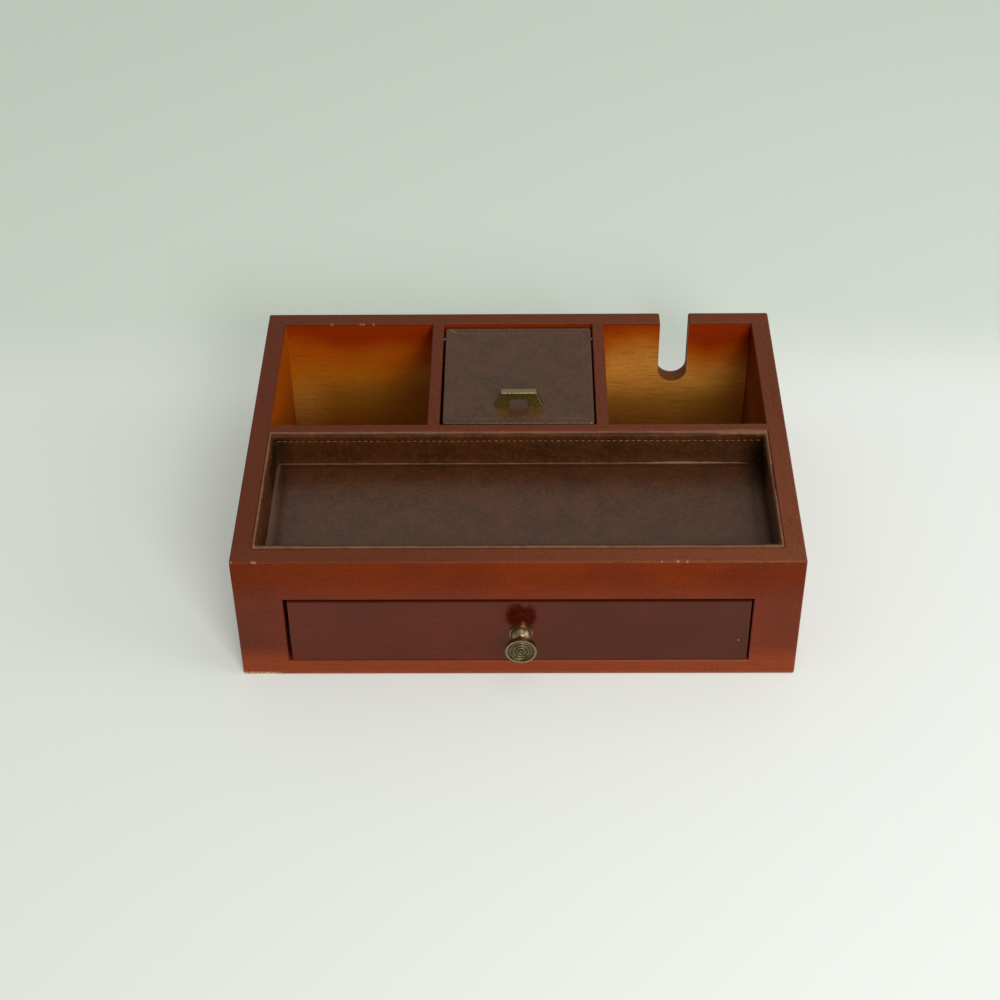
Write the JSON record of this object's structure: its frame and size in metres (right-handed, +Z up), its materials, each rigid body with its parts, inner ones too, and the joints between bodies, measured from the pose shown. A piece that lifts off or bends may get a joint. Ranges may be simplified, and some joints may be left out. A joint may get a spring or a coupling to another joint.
{
  "type": "desk valet box with drawer",
  "caption": "Wooden desk valet box with a leather-lined tray, deep open compartments, a pivoting leather-covered lid, a cable notch and a drawer under the tray.",
  "frame": {"origin": "centre of the case's underside, on the surface that the box stands on", "axes": "+X to the right along the front, +Y to the back, +Z up; the drawer opens along -Y"},
  "size_m": [0.305, 0.2391, 0.0945],
  "materials": {
    "case_stain": "mahogany stain under satin lacquer",
    "drawer_lacquer": "dark mahogany stain under gloss lacquer",
    "plain_wood": "unfinished",
    "core_board": "unfinished",
    "leather": "mottled dark brown, fine grain",
    "padded_leather": "mottled dark brown, fine grain, padded",
    "lining_cloth": "brushed brown cloth",
    "antique_brass": "antique, dull",
    "steel": "plain"
  },
  "bodies": {
    "case": {"case_left_side": "case_stain", "case_right_side": "case_stain", "case_front": "case_stain", "case_back": "case_stain", "base_panel": "plain_wood", "cross_divider": "case_stain", "left_divider": "case_stain", "right_divider": "case_stain", "drawer_guide_left": "plain_wood", "drawer_guide_right": "plain_wood", "drawer_runner_left": "plain_wood", "drawer_runner_right": "plain_wood", "drawer_stops": "plain_wood", "shelf_cleat_left": "plain_wood", "shelf_cleat_right": "plain_wood", "tray_shelf": "plain_wood", "tray_floor_board": "core_board", "tray_left_wall": "core_board", "tray_right_wall": "core_board", "tray_front_wall": "core_board", "tray_back_wall": "core_board", "tray_lining": "leather", "tray_pad": "padded_leather", "lid_rest_strip": "case_stain", "lid_pin_left": "steel", "lid_pin_right": "steel"},
    "lid": {"lid_board": "core_board", "lid_leather": "leather", "lid_lining": "lining_cloth", "lid_handle": "antique_brass", "handle_screws": "steel"},
    "drawer": {"drawer_front": "drawer_lacquer", "drawer_left_side": "plain_wood", "drawer_right_side": "plain_wood", "drawer_back": "plain_wood", "drawer_bottom": "plain_wood", "drawer_lining": "lining_cloth", "drawer_knob": "antique_brass", "knob_screw": "steel"}
  },
  "joints": [
    {"name": "drawer_slide", "type": "slide", "parent": "case", "child": "drawer", "axis": [0, -1, 0], "range_m": [0, 0.078]},
    {"name": "lid_hinge", "type": "hinge", "parent": "case", "child": "lid", "pos_m": [0, 0.09105, 0.08], "axis": [-1, 0, 0], "range_deg": [0, 132]}
  ]
}
